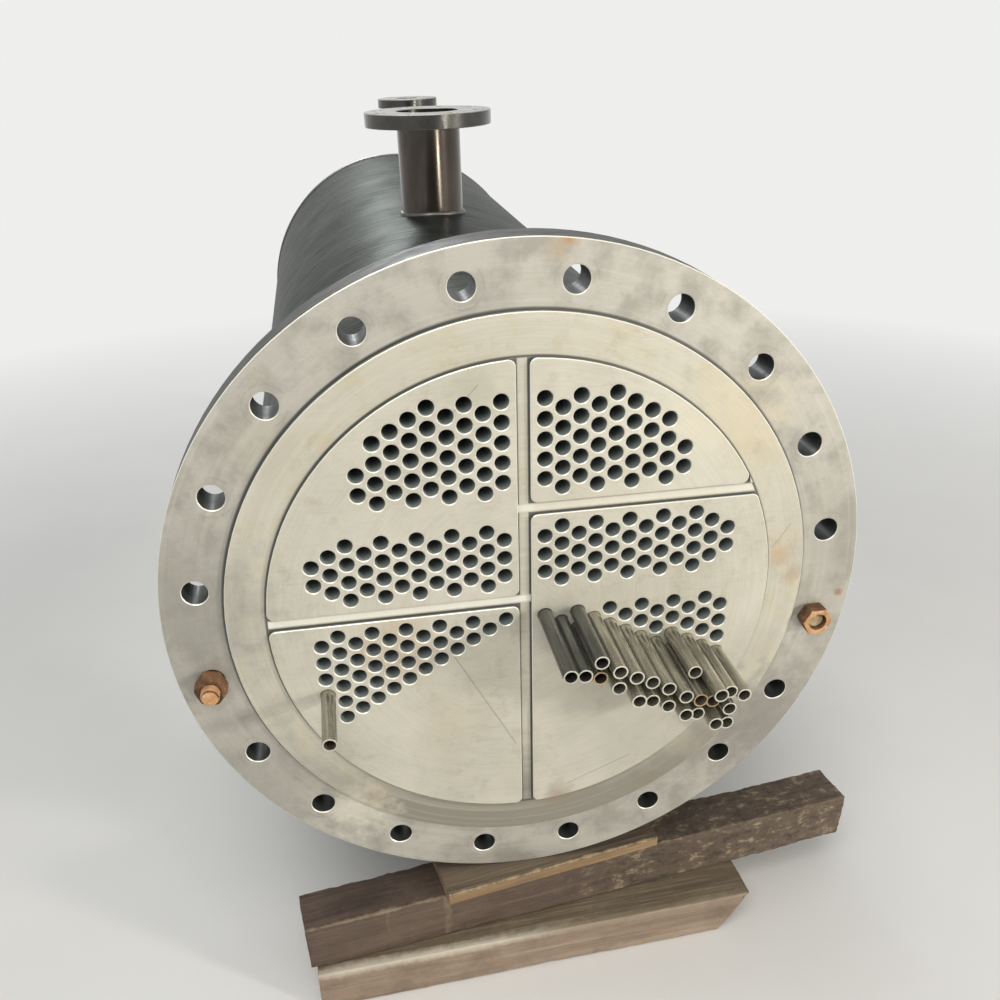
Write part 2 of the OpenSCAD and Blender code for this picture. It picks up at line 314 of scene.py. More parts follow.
# places of single stains, and of broad patches of painted light and shade, on the front face: x, height above the
# axis, radius, share, colour
stainsAndPaintedLight = [
    (0.054, 0.449, 0.011, 0.85, (0.40, 0.20, 0.07)), (0.044, 0.443, 0.018, 0.45, (0.50, 0.33, 0.16)),
    (-0.165, -0.035, 0.060, 0.40, (0.56, 0.38, 0.22)), (-0.214, -0.035, 0.022, 0.45, (0.50, 0.30, 0.16)),
    (0.048, -0.322, 0.026, 0.55, (0.30, 0.22, 0.15)), (-0.218, -0.285, 0.028, 0.35, (0.42, 0.30, 0.20)),
    (-0.100, -0.164, 0.055, 0.25, (0.52, 0.42, 0.26)), (-0.050, 0.294, 0.040, 0.45, (0.36, 0.35, 0.25)),
    (0.343, 0.040, 0.020, 0.65, (0.46, 0.31, 0.17)), (0.362, 0.002, 0.016, 0.55, (0.44, 0.30, 0.17)),
    (0.272, 0.231, 0.075, 0.35, (0.62, 0.52, 0.32)), (0.439, -0.034, 0.007, 0.80, (0.30, 0.15, 0.07)),
    (-0.418, -0.010, 0.030, 0.40, (0.26, 0.26, 0.23)), (-0.395, -0.060, 0.022, 0.35, (0.28, 0.28, 0.25)),
    # painted highlight: the first patch on the next line, pale and low on the ring at the left
    (-0.242, -0.310, 0.055, 0.60, (0.74, 0.70, 0.58)), (0.330, -0.110, 0.050, 0.30, (0.40, 0.37, 0.33)),
    (0.120, 0.200, 0.090, 0.25, (0.66, 0.62, 0.48)), (-0.300, 0.240, 0.050, 0.30, (0.44, 0.40, 0.30)),
    # painted shade: the broad grey patches from here to the end darken the ring at its left, its right and low on both
    # sides, and the face at the lower right
    (-0.420, 0.040, 0.120, 0.60, (0.26, 0.25, 0.225)), (-0.350, -0.230, 0.100, 0.50, (0.28, 0.27, 0.235)),
    (0.350, -0.240, 0.120, 0.70, (0.22, 0.205, 0.185)), (0.430, 0.060, 0.090, 0.35, (0.30, 0.28, 0.245)),
    (0.150, -0.200, 0.120, 0.25, (0.44, 0.42, 0.37)),
]
scratchLook = [((-0.095, -0.062), (-0.016, -0.216), 0.0011), ((-0.262, 0.060), (-0.246, 0.078), 0.0009),
               ((0.352, 0.082), (0.330, 0.048), 0.0008), ((-0.090, 0.262), (-0.052, 0.300), 0.0010),
               ((0.060, -0.300), (0.150, -0.262), 0.0009)]


def turnedSteel(name, look):
    # faces turned on a lathe: marks run round the axis, and stains, grime and scratches lie over them
    material, tree, shader = startMaterial(name, look["metallic"], look["roughness"])
    x, y, z, flat, radius = axisParts(tree)
    heading = add(tree, "VectorMath", {0: flat}, operation="NORMALIZE").outputs[0]
    around = add(tree, "VectorMath", {0: heading, "Scale": 0.5}, operation="SCALE").outputs[0]
    along = add(tree, "CombineXYZ", {"Y": times(tree, radius, 60.0)}).outputs[0]
    lathe = add(tree, "VectorMath", {0: around, 1: along}, operation="ADD").outputs[0]
    fineMarks = noise(tree, lathe, 9.0, 5.0, 0.7)
    broadMarks = noise(tree, lathe, 1.4, 3.0, 0.6)
    cloudy = noise(tree, flat, 7.0, 5.0, 0.6)
    patchy = noise(tree, flat, 19.0, 5.0, 0.6)
    mottled = noise(tree, flat, 42.0, 6.0, 0.65)
    # which level of the front plate a face lies on; the rear plate is plain ring
    raised = times(tree, y, -1.0)
    inFront = ramp(tree, raised, -0.01, 0.0)
    onSeat = ramp(tree, raised, 0.002, 0.005)
    onLand = ramp(tree, raised, 0.009, 0.011)
    onRing = minus(tree, 1.0, onSeat)
    seatOnly = minus(tree, onSeat, onLand)
    lands = blend(tree, ramp(tree, cloudy, 0.35, 0.68), look["land"], look["landDull"])
    seat = blend(tree, times(tree, ramp(tree, patchy, 0.48, 0.66), 0.55), look["seat"], look["seatBrown"])
    ring = blend(tree, times(tree, ramp(tree, patchy, 0.44, 0.62), 0.75), look["ring"], look["ringDull"])
    # painted shade: the seat is painted darker towards the bottom, as a dark reflection of what lies below
    lowered = maths(tree, "MULTIPLY_ADD", patchy, 0.10, z)
    seat = blend(tree, times(tree, ramp(tree, lowered, -0.15, -0.25), 0.85), seat, look["seatPaintedShade"])
    colour = blend(tree, onSeat, ring, seat)
    colour = blend(tree, onLand, colour, lands)
    colour = blend(tree, times(tree, ramp(tree, fineMarks, 0.44, 0.62), 0.16), colour, look["fineMark"])
    brushed = times(tree, ramp(tree, broadMarks, 0.5, 0.72), maths(tree, "MULTIPLY_ADD", onLand, -0.15, 0.24))
    colour = blend(tree, brushed, colour, look["brushed"])
    slanted = mapped(tree, flat, scale=(16, 1, 420), turn=(0, math.radians(look["hatchTurn"]), 0))
    hatch = times(tree, ramp(tree, noise(tree, slanted, 1.0, 4.0, 0.6), 0.54, 0.68), ramp(tree, cloudy, 0.38, 0.6))
    colour = blend(tree, times(tree, hatch, 0.30), colour, look["hatch"])
    stains = times(tree, ramp(tree, mottled, 0.52, 0.70), ramp(tree, cloudy, 0.40, 0.58))
    colour = blend(tree, times(tree, stains, 0.45), colour, look["stain"])
    # the marks that washers left round the bolt holes
    halfStep = math.radians(look["boltStep"] / 2)
    offset = maths(tree, "WRAP", minus(tree, maths(tree, "ARCTAN2", z, x), math.radians(look["firstBolt"])),
                   halfStep, -halfStep)
    across = times(tree, radius, maths(tree, "SINE", offset))
    outFrom = maths(tree, "MULTIPLY_ADD", radius, maths(tree, "COSINE", offset), -look["boltCircle"])
    fromHole = maths(tree, "SQRT", plus(tree, times(tree, across, across), times(tree, outFrom, outFrom)))
    inner, outer = look["washerRim"]
    washer = times(tree, band(tree, fromHole, inner, outer, 0.0007), ramp(tree, patchy, 0.46, 0.58))
    colour = blend(tree, times(tree, times(tree, washer, onRing), 0.55), colour, look["washer"])
    ragged = maths(tree, "MULTIPLY_ADD", mottled, 0.5, times(tree, patchy, 0.5))
    # the listed stains, and the broad patches of painted light and shade
    for spotX, spotZ, size, share, spotColour in stainsAndPaintedLight:
        mask = times(tree, spotMask(tree, flat, spotX, spotZ, size, ragged), share)
        colour = blend(tree, times(tree, mask, inFront), colour, spotColour)
    for start, end, width in scratchLook:
        scratch = times(tree, lineMask(tree, flat, start, end, width), times(tree, onSeat, 0.7))
        colour = blend(tree, scratch, colour, look["scratch"])
    # painted highlight: a pale band is painted along the middle of each level groove's floor; painted shade with grime
    # lies at the foot of every step
    landRadius, seatRadius, halfGroove = look["landRadius"], look["seatRadius"], look["halfGroove"]
    inGroove = minus(tree, halfGroove, unsigned(tree, x))
    withinLands = times(tree, ramp(tree, radius, landRadius + 0.001, landRadius - 0.001), inFront)
    for way, height, share in zip((-1, 1), look["grooves"], look["grooveSheenShare"]):
        level = minus(tree, halfGroove, unsigned(tree, minus(tree, z, height)))
        onSide = maths(tree, "GREATER_THAN", times(tree, x, way), -halfGroove)
        paintedGrooveSheen = times(tree, times(tree, onSide, ramp(tree, level, 0.002, 0.005)), withinLands)
        colour = blend(tree, times(tree, paintedGrooveSheen, share), colour, look["paintedGrooveSheen"])
        levelGroove = maths(tree, "MULTIPLY_ADD", onSide, plus(tree, level, 1.0), -1.0)
        inGroove = maths(tree, "MAXIMUM", inGroove, levelGroove)
    # painted shade with grime: dark lines along the groove walls and at the foot of the lands and the seat
    grooveShadeAndGrime = times(tree, ramp(tree, inGroove, 0.0030, 0.0014), withinLands)
    landFoot = times(tree, ramp(tree, radius, landRadius - 0.001, landRadius),
                     ramp(tree, radius, landRadius + 0.0036, landRadius + 0.0016))
    seatFoot = times(tree, ramp(tree, radius, seatRadius - 0.001, seatRadius),
                     ramp(tree, radius, seatRadius + 0.0046, seatRadius + 0.0020))
    footShadeAndGrime = plus(tree, times(tree, seatOnly, maths(tree, "MAXIMUM", grooveShadeAndGrime, landFoot)),
                 times(tree, times(tree, onRing, seatFoot), inFront))
    colour = blend(tree, times(tree, footShadeAndGrime, 0.9), colour, look["footShadeAndGrime"])
    tree.links.new(colour, shader.inputs["Base Color"])
    roughened(tree, shader, mottled, look["roughness"] - 0.1, look["roughness"] + 0.14)
    bumped(tree, shader, fineMarks, 0.0003, 0.4)
    return material


def plainSteel(name, colour, dark, metallic, roughness, scale=(30, 30, 30), depth=0.0003):
    # steel with streaks that run the way the scale is stretched
    material, tree, shader = startMaterial(name, metallic, roughness)
    streaked = noise(tree, place(tree, scale=scale), 1.0, 6.0, 0.65)
    cloudy = noise(tree, place(tree), 9.0, 4.0, 0.6)
    mixed = plus(tree, times(tree, streaked, 0.6), times(tree, cloudy, 0.4))
    tree.links.new(blend(tree, ramp(tree, mixed, 0.36, 0.66), dark, colour), shader.inputs["Base Color"])
    roughened(tree, shader, streaked, roughness + 0.12, roughness - 0.08)
    bumped(tree, shader, streaked, depth, 0.6)
    return material


def brushedPlate(name, look):
    # rolled plate, scuffed in long slanting strokes that follow the curve
    material, tree, shader = startMaterial(name, look["metallic"], look["roughness"])
    x, y, z, flat, radius = axisParts(tree)
    arc = times(tree, maths(tree, "ARCTAN2", x, z), shellRadius)
    unrolled = add(tree, "CombineXYZ", {"X": arc, "Y": y}).outputs[0]
    slanted = mapped(tree, unrolled, turn=(0, 0, math.radians(look["slant"])))
    strokes = noise(tree, mapped(tree, slanted, scale=(7, 130, 1)), 1.0, 6.0, 0.7)
    crossed = mapped(tree, unrolled, scale=(9, 90, 1), turn=(0, 0, math.radians(look["crossSlant"])))
    crossing = noise(tree, crossed, 1.0, 5.0, 0.7)
    cloudy = noise(tree, unrolled, 6.5, 5.0, 0.6)
    mixed = plus(tree, times(tree, strokes, 0.6), times(tree, cloudy, 0.4))
    colour = blend(tree, ramp(tree, mixed, 0.42, 0.56), look["dark"], look["light"])
    colour = blend(tree, times(tree, ramp(tree, crossing, 0.58, 0.72), 0.5), colour, look["scuff"])
    tree.links.new(colour, shader.inputs["Base Color"])
    roughened(tree, shader, strokes, look["roughness"] + 0.10, look["roughness"] - 0.08)
    bumped(tree, shader, plus(tree, strokes, times(tree, cloudy, 1.5)), look["depth"], 0.6)
    return material


def rustySteel(name, look):
    material, tree, shader = startMaterial(name, 0.15, 0.82)
    flakes = noise(tree, place(tree), 120.0, 6.0, 0.7)
    patches = noise(tree, place(tree), 38.0, 4.0, 0.6)
    colour = blend(tree, ramp(tree, patches, 0.38, 0.62), look["dark"], look["orange"])
    colour = blend(tree, ramp(tree, flakes, 0.52, 0.7), colour, look["pale"])
    tree.links.new(colour, shader.inputs["Base Color"])
    bumped(tree, shader, flakes, 0.0012, 0.9)
    return material


def sawnTimber(name, look, corner, turn, height):
    # grain runs along the timber; its upper front edge is worn pale, and a crust may cover part of the front
    material, tree, shader = startMaterial(name, 0.0, 0.85)
    angle = -math.radians(turn)
    shift = (-(corner[0] * math.cos(angle) - corner[1] * math.sin(angle)),
             -(corner[0] * math.sin(angle) + corner[1] * math.cos(angle)), -corner[2])
    own = place(tree, turn=(0, 0, angle), shift=shift)
    along, deep, up = add(tree, "SeparateXYZ", {0: own}).outputs
    grain = noise(tree, mapped(tree, own, scale=(2.6, 34, 34)), 1.0, 6.0, 0.62)
    fine = noise(tree, mapped(tree, own, scale=(7, 240, 240)), 1.0, 5.0, 0.7)
    dirt = noise(tree, own, 13.0, 6.0, 0.7)
    chips = noise(tree, own, 55.0, 5.0, 0.65)
    onTop = ramp(tree, maths(tree, "MULTIPLY_ADD", chips, 0.006, up), height - 0.002, height + 0.001)
    colour = blend(tree, ramp(tree, grain, 0.38, 0.62), look["dark"], look["light"])
    top = blend(tree, ramp(tree, grain, 0.38, 0.62), look["topDark"], look["top"])
    colour = blend(tree, onTop, colour, top)
    colour = blend(tree, times(tree, ramp(tree, fine, 0.48, 0.66), 0.40), colour, look["fibre"])
    colour = blend(tree, times(tree, ramp(tree, dirt, 0.46, 0.66), look["dirtShare"]), colour, look["dirt"])
    # crust: lumps with pale flakes on them
    lumps = noise(tree, mapped(tree, own, scale=(0.6, 1, 1)), look["flakes"], 6.0, 0.75)
    crusted = ramp(tree, maths(tree, "MULTIPLY_ADD", dirt, 0.25, along), look["crustFrom"], look["crustFrom"] + 0.12)
    crust = times(tree, crusted, look["crustShare"])
    rims = times(tree, ramp(tree, lumps, 0.54, 0.64), crust)
    gaps = times(tree, ramp(tree, lumps, 0.46, 0.38), crust)
    colour = blend(tree, times(tree, crust, 0.5), colour, look["crust"])
    colour = blend(tree, times(tree, gaps, 0.7), colour, crustGap)
    colour = blend(tree, times(tree, rims, 0.7), colour, look["crustRim"])
    # worn edge
    toEdge = maths(tree, "MAXIMUM", unsigned(tree, deep), unsigned(tree, minus(tree, up, height)))
    fromEdge = plus(tree, toEdge, maths(tree, "MULTIPLY_ADD", chips, 0.016, -0.008))
    wornAlong = ramp(tree, unsigned(tree, minus(tree, along, look["wornAt"])), look["wornReach"],
                     look["wornReach"] * 0.5)
    worn = times(tree, ramp(tree, fromEdge, look["wornWidth"], look["wornWidth"] * 0.3),
                 maths(tree, "MULTIPLY_ADD", wornAlong, 1.0 - look["wornElse"], look["wornElse"]))
    colour = blend(tree, times(tree, worn, look["wornShare"]), colour, look["worn"])
    for scuff, width in look["scuffs"]:
        bandAlong = maths(tree, "MULTIPLY_ADD", chips, 0.012, minus(tree, along, scuff + 0.006))
        mask = times(tree, ramp(tree, unsigned(tree, bandAlong), width, width * 0.4),
                     times(tree, ramp(tree, dirt, 0.58, 0.42), minus(tree, 1.0, onTop)))
        colour = blend(tree, times(tree, mask, 0.38), colour, look["worn"])
    tree.links.new(colour, shader.inputs["Base Color"])
    relief = plus(tree, times(tree, fine, 0.5), plus(tree, grain, times(tree, crust, lumps)))
    bumped(tree, shader, relief, look["depth"], 0.9)
    return material


tubesheetSteel = turnedSteel("turned tubesheet steel", turnedSteelLook)
# painted highlight: the broken edges of the sheets are paler than the turned faces
highlightedEdgeSteel = plainSteel("broken edge painted bright as a highlight", (0.86, 0.83, 0.74), (0.74, 0.71, 0.62), 0.35, 0.42)
# painted shade: the walls of the tube holes are a dark grey-green
shadedTubeHoleSteel = plainSteel("tube hole steel painted dark as shade", (0.27, 0.30, 0.29), (0.21, 0.235, 0.228), 0.0, 0.65)
# painted shade: the walls of the bolt holes are near black
shadedBoltHoleSteel = plainSteel("bolt hole steel painted dark as shade", (0.062, 0.067, 0.063), (0.04, 0.044, 0.041), 0.3, 0.45)
# painted shade with grime: the walls of the steps and grooves are near black
stepWallShadeAndGrime = plainSteel("step wall with painted shade and grime", (0.075, 0.08, 0.074), (0.045, 0.05, 0.046), 0.3, 0.6)
# painted shade: the front sheet's outer rim is dark as if in shadow
shadedRimSteel = plainSteel("sheet rim painted dark as shade", (0.055, 0.055, 0.048), (0.03, 0.03, 0.026), 0.2, 0.55, (30, 90, 30))
rearRimSteel = plainSteel("rear sheet rim", (0.42, 0.42, 0.39), (0.30, 0.30, 0.28), 0.75, 0.38, (30, 90, 30))
shellSteel = brushedPlate("scuffed shell plate", {
    "light": (0.096, 0.101, 0.096), "dark": (0.034, 0.037, 0.035), "scuff": (0.24, 0.252, 0.236), "metallic": 0.88,
    "roughness": 0.36, "slant": 28, "crossSlant": 102, "depth": 0.0011})
shellSteel.node_tree.nodes["Principled BSDF"].inputs["Specular Tint"].default_value = (0.45, 0.46, 0.45, 1)
pipeSteel = plainSteel("brown pipe steel", (0.082, 0.064, 0.048), (0.034, 0.028, 0.024), 0.9, 0.20, (34, 34, 9))
flangeSteel = plainSteel("turned flange steel", (0.075, 0.072, 0.066), (0.036, 0.035, 0.032), 0.88, 0.22)
# painted highlight: the broken rims of the flanges are far paler than the flanges
highlightedFlangeEdge = plainSteel("flange edge painted bright as a highlight", (0.42, 0.41, 0.37), (0.28, 0.27, 0.25), 0.7, 0.35)
dullSteel = plainSteel("dull inner steel", (0.45, 0.46, 0.44), (0.30, 0.31, 0.30), 0.5, 0.55)
tubeSteel = plainSteel("drawn tube steel", (0.50, 0.47, 0.38), (0.20, 0.19, 0.155), 0.72, 0.25, (150, 6, 150))
darkTubeSteel = plainSteel("dark drawn tube steel", (0.21, 0.21, 0.19), (0.08, 0.08, 0.07), 0.72, 0.28, (150, 6, 150))
cutEnd = plainSteel("cut tube end", (0.66, 0.64, 0.55), (0.42, 0.41, 0.35), 0.2, 0.42)
rustyEnd = plainSteel("rusty tube end", (0.52, 0.37, 0.22), (0.30, 0.18, 0.09), 0.3, 0.55)
for material in (pipeSteel, flangeSteel):
    gloss = material.node_tree.nodes["Principled BSDF"]
    gloss.inputs["Coat Weight"].default_value = 0.4
    gloss.inputs["Coat Roughness"].default_value = 0.14
weldSteel = plainSteel("weld bead steel", (0.16, 0.15, 0.14), (0.08, 0.075, 0.07), 0.8, 0.42, (90, 90, 90), 0.0008)
# painted shade: the sides of the nuts and studs are a darker rust than their faces
shadedSideRust = rustySteel("rust painted darker on sides as shade", {
    "dark": (0.095, 0.045, 0.022), "orange": (0.21, 0.10, 0.045), "pale": (0.34, 0.19, 0.10)})
faceRust = rustySteel("rusted nut face", {
    "dark": (0.40, 0.20, 0.085), "orange": (0.60, 0.345, 0.17), "pale": (0.74, 0.50, 0.30)})
shadyRust = rustySteel("rust in the shade", {
    "dark": (0.06, 0.03, 0.016), "orange": (0.18, 0.09, 0.042), "pale": (0.36, 0.20, 0.10)})
caveRust = rustySteel("dirt on a stud end", {
    "dark": (0.24, 0.17, 0.10), "orange": (0.50, 0.40, 0.25), "pale": (0.62, 0.52, 0.36)})
crustGap = (0.035, 0.026, 0.02)
timberLook = {
    "sleeper": {"light": (0.34, 0.26, 0.19), "dark": (0.22, 0.16, 0.115), "top": (0.19, 0.15, 0.085),
                "topDark": (0.12, 0.09, 0.055), "fibre": (0.42, 0.335, 0.255), "dirt": (0.13, 0.095, 0.065),
                "dirtShare": 0.5, "depth": 0.0022, "flakes": 60.0, "crustFrom": 2.0, "crustShare": 0.0,
                "crust": (0.1, 0.08, 0.06), "crustRim": (0.3, 0.25, 0.2), "worn": (0.62, 0.56, 0.46),
                "wornAt": 0.16, "wornReach": 0.24, "wornElse": 0.12, "wornWidth": 0.017, "wornShare": 0.85,
                "scuffs": ()},
    "beam": {"light": (0.125, 0.085, 0.063), "dark": (0.07, 0.046, 0.034), "top": (0.085, 0.055, 0.040),
             "topDark": (0.045, 0.030, 0.023), "fibre": (0.17, 0.12, 0.09), "dirt": (0.14, 0.105, 0.075),
             "dirtShare": 0.5, "depth": 0.0028, "flakes": 62.0, "crustFrom": 0.50, "crustShare": 1.0,
             "crust": (0.105, 0.078, 0.052), "crustRim": (0.36, 0.29, 0.19), "worn": (0.34, 0.27, 0.18),
             "wornAt": 0.1, "wornReach": 0.5, "wornElse": 0.4, "wornWidth": 0.0065, "wornShare": 0.6,
             "scuffs": ((0.125, 0.004), (0.216, 0.007))},
    "board": {"light": (0.31, 0.20, 0.10), "dark": (0.19, 0.12, 0.06), "top": (0.13, 0.10, 0.068),
              "topDark": (0.07, 0.054, 0.04), "fibre": (0.38, 0.26, 0.15), "dirt": (0.15, 0.11, 0.075),
              "dirtShare": 0.4, "depth": 0.0015, "flakes": 60.0, "crustFrom": 2.0, "crustShare": 0.0,
              "crust": (0.1, 0.08, 0.06), "crustRim": (0.3, 0.25, 0.2), "worn": (0.50, 0.37, 0.22),
              "wornAt": 0.17, "wornReach": 0.3, "wornElse": 0.3, "wornWidth": 0.004, "wornShare": 0.6,
              "scuffs": ()},
}
print("materials made")


# tubesheets: the node's own shape with every rim broken, as drilled and turned plate has
tubesheetEdges = {
    "front": {"width": 0.0011, "levels": ((-0.0125, 1), (-0.007, 1), (0.0, 1), (0.05, -1)), "rim": 0.455},
    "rear": {"width": 0.0011, "levels": ((1.935, -1),), "rim": shellRadius},
}
# walls between "front" and "back" belong to holes; a step's wall has none of them within "near"
sheetRule = {"slope": (0.3, 0.95), "front": 0.004, "back": 1.93, "near": 0.004, "rimBand": 0.004, "boltsFrom": 0.39}


def makeTubesheet(node, name, edges, rim):
    sheet = copyOf(node, name)
    for level, inward in edges["levels"]:
        breakEdges(sheet, 1, level, inward, edges["width"])
    wall, face = sheetRule["slope"]
    deep = KDTree(len(sheet.data.polygons))
    for index, side in enumerate(sheet.data.polygons):
        if abs(side.normal.y) < wall and sheetRule["front"] < abs(side.center.y) < sheetRule["back"]:
            deep.insert((side.center.x, 0, side.center.z), index)
    deep.balance()

    def rule(centre, normal):
        # 0 turned face, 1 broken edge, 2 tube hole, 3 step, 4 rim, 5 bolt hole
        if wall < abs(normal.y) < face:
            return 1
        if abs(normal.y) >= face:
            return 0
        fromAxis = math.hypot(centre.x, centre.z - axisHeight)
        if fromAxis > edges["rim"] - sheetRule["rimBand"]:
            return 4
        if deep.find((centre.x, 0, centre.z))[2] > sheetRule["near"]:
            return 3
        return 5 if fromAxis > sheetRule["boltsFrom"] else 2
    paintFaces(sheet, rule)
    smoothByAngle(sheet, 25)
    steels = [tubesheetSteel, highlightedEdgeSteel, shadedTubeHoleSteel, stepWallShadeAndGrime, rim, shadedBoltHoleSteel]
    finished(sheet, "machined_steel", steels, node)


makeTubesheet("front_tubesheet", "frontTubesheet", tubesheetEdges["front"], shadedRimSteel)
makeTubesheet("rear_tubesheet", "rearTubesheet", tubesheetEdges["rear"], rearRimSteel)
print("tubesheets made")

# nozzle flanges: rims broken above and below, and painted bright as a highlight
flangeLook = {"width": 0.0012, "slope": (0.3, 0.95), "levels": {
    "inlet": ((1.16, -1), (1.136, 1)), "outlet": ((0.11, 1), (0.134, -1)), "vent": ((1.16, -1), (1.1425, 1))}}


def onSlope(centre, normal):
    return 1 if flangeLook["slope"][0] < abs(normal.z) < flangeLook["slope"][1] else 0


for key, levels in flangeLook["levels"].items():
    flange = copyOf(key + "_flange", key + "Flange")
    for level, inward in levels:
        breakEdges(flange, 2, level, inward, flangeLook["width"])
    paintFaces(flange, onSlope)
    smoothByAngle(flange, 25)
    finished(flange, "flange_steel", [flangeSteel, highlightedFlangeEdge], key + "_flange")
print("flanges made")

# tubes: drawn tubes of one length, each made at its place; stands are in millimetres, by column and row
tubeLook = {"radius": 0.0095, "wall": 0.002, "bevel": 0.0004, "length": 1.9475, "pitch": 0.025,
            "firstColumn": 0.0257, "lowerBase": -0.0124, "drop": 0.000125, "face": 0.0125, "darkColumns": 3}
tubeSteels = [tubeSteel, darkTubeSteel, cutEnd, rustyEnd]
lowerRows = [1, 1, 2, 2, 3, 3, 4, 4, 5, 5, 6, 4]
rightStands = [[146], [130], [120, 124], [128, 130], [142, 128], [128, 124], [126, 124], [132, 128],
               [116, 122, 96], [126, 110, 134], [110, 114, 112], [106]]


def tubePlace(column, fromLowest):
    x = tubeLook["firstColumn"] + column * tubeLook["pitch"] * math.sqrt(3) / 2
    z = tubeLook["lowerBase"] - (column % 2) * tubeLook["pitch"] / 2
    return x, z - (lowerRows[column] - 1 - fromLowest) * tubeLook["pitch"] - tubeLook["drop"] + axisHeight


def makeTube(x, z, stand, skin=0, end=2):
    length = tubeLook["length"]
    clearSelection()
    bpy.ops.mesh.primitive_cylinder_add(vertices=32, radius=tubeLook["radius"], depth=length, end_fill_type="NOTHING",
                                        location=(x, length / 2 - tubeLook["face"] - stand, z),
                                        rotation=(math.pi / 2, 0, 0))
    tube = settle(bpy.context.object, "tube")
    outward(tube)
    addModifier(tube, "SOLIDIFY", thickness=tubeLook["wall"], offset=-1)
    addModifier(tube, "BEVEL", width=tubeLook["bevel"], segments=1, limit_method="ANGLE", angle_limit=math.radians(50))
    for steel in tubeSteels:
        tube.data.materials.append(steel)
    paintFaces(tube, lambda centre, normal: end if abs(normal.y) > 0.3 else skin)
    smoothByAngle(tube, 30)
    return tube


rightTubes = []
rustyEnds = ((2, 0), (8, 1), (9, 1))  # column and row of the tubes whose cut ends have rusted
for column, stands in enumerate(rightStands):
    for fromLowest, stand in enumerate(stands):
        x, z = tubePlace(column, fromLowest)
        skin = 1 if column < tubeLook["darkColumns"] else 0
        end = 3 if (column, fromLowest) in rustyEnds else 2
        rightTubes.append(makeTube(x, z, stand / 1000, skin, end))
finished(joined(rightTubes, "rightTubes"), "tube_steel", tubeSteels, "right_tubes")
x, z = tubePlace(11, 0)
leftTube = makeTube(-x, z, 0.105)
leftTube.name = "leftTube"
finished(leftTube, "tube_steel", tubeSteels, "left_tube")
print("tubes made")

# studs and nuts
fixingLook = {"circle": 0.4115, "studRadius": 0.012, "flats": 0.036, "nutHeight": 0.022, "sheet": 0.05,
              "pitch": 0.003, "threadDepth": 0.0016, "crest": (0.44, 0.56), "runOut": 0.002, "firstHole": 81,
              "holeStep": 18, "studBevel": 0.0012, "nutBevel": 0.0006, "boreGap": 0.0002, "merge": 0.00002,
              "domeReach": 1.02, "domeCut": 0.13,
              "left": {"hole": 14, "proud": 0.036, "turn": 20, "shift": (-0.0015, -0.0035)},
              "right": {"hole": 5, "proud": 0.016, "turn": 30, "shift": (-0.0025, -0.0012)}}


def boltPlace(hole):
    angle = math.radians(fixingLook["firstHole"] - fixingLook["holeStep"] * hole)
    return fixingLook["circle"] * math.cos(angle), axisHeight + fixingLook["circle"] * math.sin(angle)


def makeStud(x, z, proud, name):
    radius = fixingLook["studRadius"]
    front, back = -proud, fixingLook["sheet"] + fixingLook["nutHeight"]
    clearSelection()
    bpy.ops.mesh.primitive_cylinder_add(vertices=32, radius=radius - fixingLook["threadDepth"], depth=back - front,
                                        location=(x, (front + back) / 2, z), rotation=(math.pi / 2, 0, 0))
    core = settle(bpy.context.object, name + "Core")
    addModifier(core, "BEVEL", width=fixingLook["studBevel"], segments=2, limit_method="ANGLE",
                angle_limit=math.radians(50))
    # thread: one tooth of the profile, swept up the stud by the screw modifier
    turns = int((back - front - 2 * fixingLook["runOut"]) / fixingLook["pitch"])
    clearSelection()
    bpy.ops.mesh.primitive_circle_add(vertices=3, radius=0.001)
    tooth = bpy.context.object
    inner, pitch, (low, high) = radius - fixingLook["threadDepth"], fixingLook["pitch"], fixingLook["crest"]
    tooth.data.clear_geometry()
    tooth.data.from_pydata([(inner, 0, 0), (radius, 0, pitch * low), (radius, 0, pitch * high), (inner, 0, pitch)],
                           [(0, 1), (1, 2), (2, 3)], [])
    addModifier(tooth, "SCREW", angle=math.tau, screw_offset=pitch, iterations=turns - 1, steps=32, render_steps=32,
                axis="Z", use_merge_vertices=True, merge_threshold=fixingLook["merge"])
    tooth.rotation_euler = (-math.pi / 2, 0, 0)
    tooth.location = (x, front + fixingLook["runOut"], z)
    tooth = settle(tooth, name + "Thread")
    outward(tooth)
    stud = joined([core, tooth], name)
    smoothByAngle(stud, 40)
    return stud


